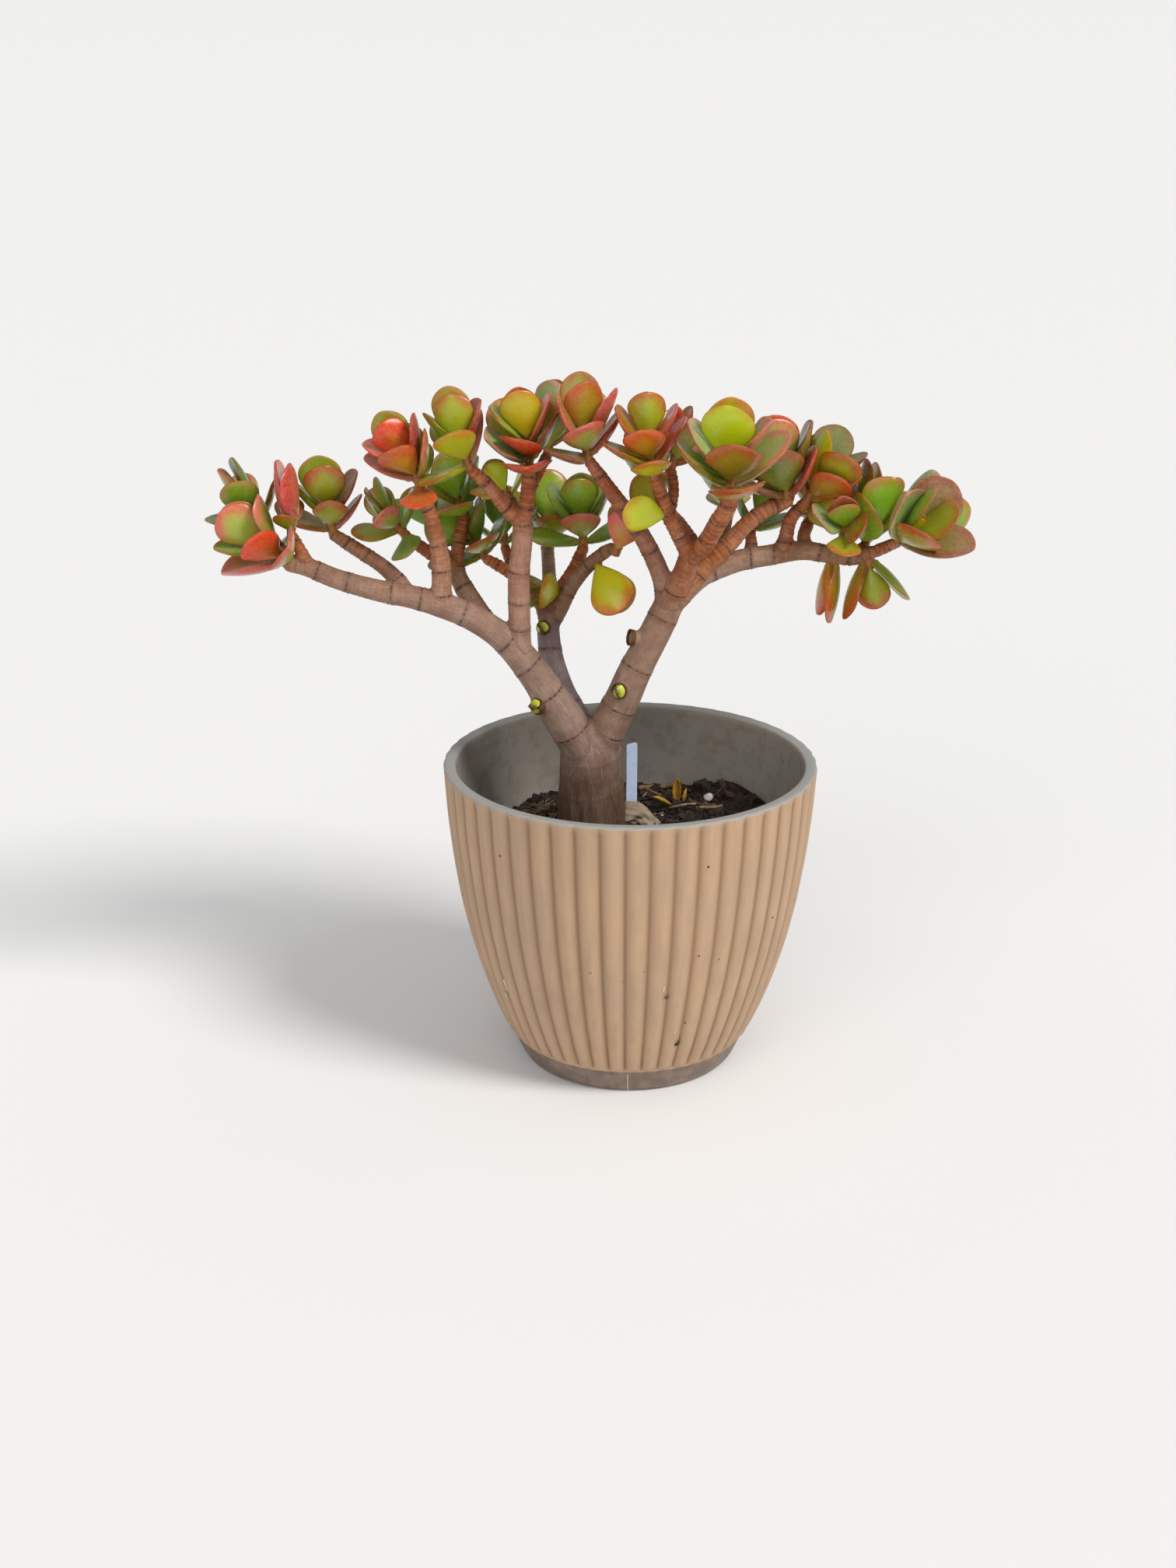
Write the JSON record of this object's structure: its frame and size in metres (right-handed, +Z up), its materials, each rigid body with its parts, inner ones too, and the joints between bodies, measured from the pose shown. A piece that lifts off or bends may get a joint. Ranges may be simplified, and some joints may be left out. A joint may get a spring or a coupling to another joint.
{
  "type": "jade bonsai",
  "caption": "Jade plant trained as a bonsai: a forked woody trunk with spreading limbs and fleshy red-edged leaves in pairs, standing in a round fluted beige plastic pot of dark soil.",
  "frame": {"origin": "centre of the pot's flat underside", "axes": "+Z up out of the pot, +X towards the longer right-hand limb, -Y towards the front of the plant"},
  "size_m": [0.4218, 0.2107, 0.396],
  "materials": {
    "pot": "matt moulded beige plastic, fluted",
    "soil": "dark moist potting soil with bark bits",
    "bark": "ringed grey brown bark, orange brown on young twigs",
    "leaf": "satin fleshy leaf, olive to yellow green with red edges",
    "label": "plain pale plastic"
  },
  "bodies": {
    "root": {"plant_label": "label", "pot": "pot", "shoot_centre_branch": "leaf", "shoot_centre_end": "leaf", "shoot_centre_face": "leaf", "shoot_centre_left": "leaf", "shoot_centre_left_rear": "leaf", "shoot_column_left": "leaf", "shoot_column_mid": "leaf", "shoot_column_right": "leaf", "shoot_column_top": "leaf", "shoot_hero": "leaf", "shoot_hero_rear": "leaf", "shoot_hero_under": "leaf", "shoot_left_back_tuft": "leaf", "shoot_left_high_rear": "leaf", "shoot_left_low": "leaf", "shoot_left_rear": "leaf", "shoot_left_rise": "leaf", "shoot_left_tall": "leaf", "shoot_left_tip": "leaf", "shoot_left_tip_rear": "leaf", "shoot_middle_face": "leaf", "shoot_middle_hang": "leaf", "shoot_middle_left": "leaf", "shoot_middle_left_up": "leaf", "shoot_middle_side": "leaf", "shoot_middle_up": "leaf", "shoot_outer_back": "leaf", "shoot_outer_droop": "leaf", "shoot_outer_droop_small": "leaf", "shoot_outer_end": "leaf", "shoot_outer_end_rear": "leaf", "shoot_outer_face": "leaf", "shoot_outer_tall": "leaf", "shoot_outer_under": "leaf", "shoot_rear_top": "leaf", "shoot_right_back": "leaf", "shoot_right_twig": "leaf", "soil": "soil", "trunk_and_branches": "bark"}
  },
  "joints": []
}
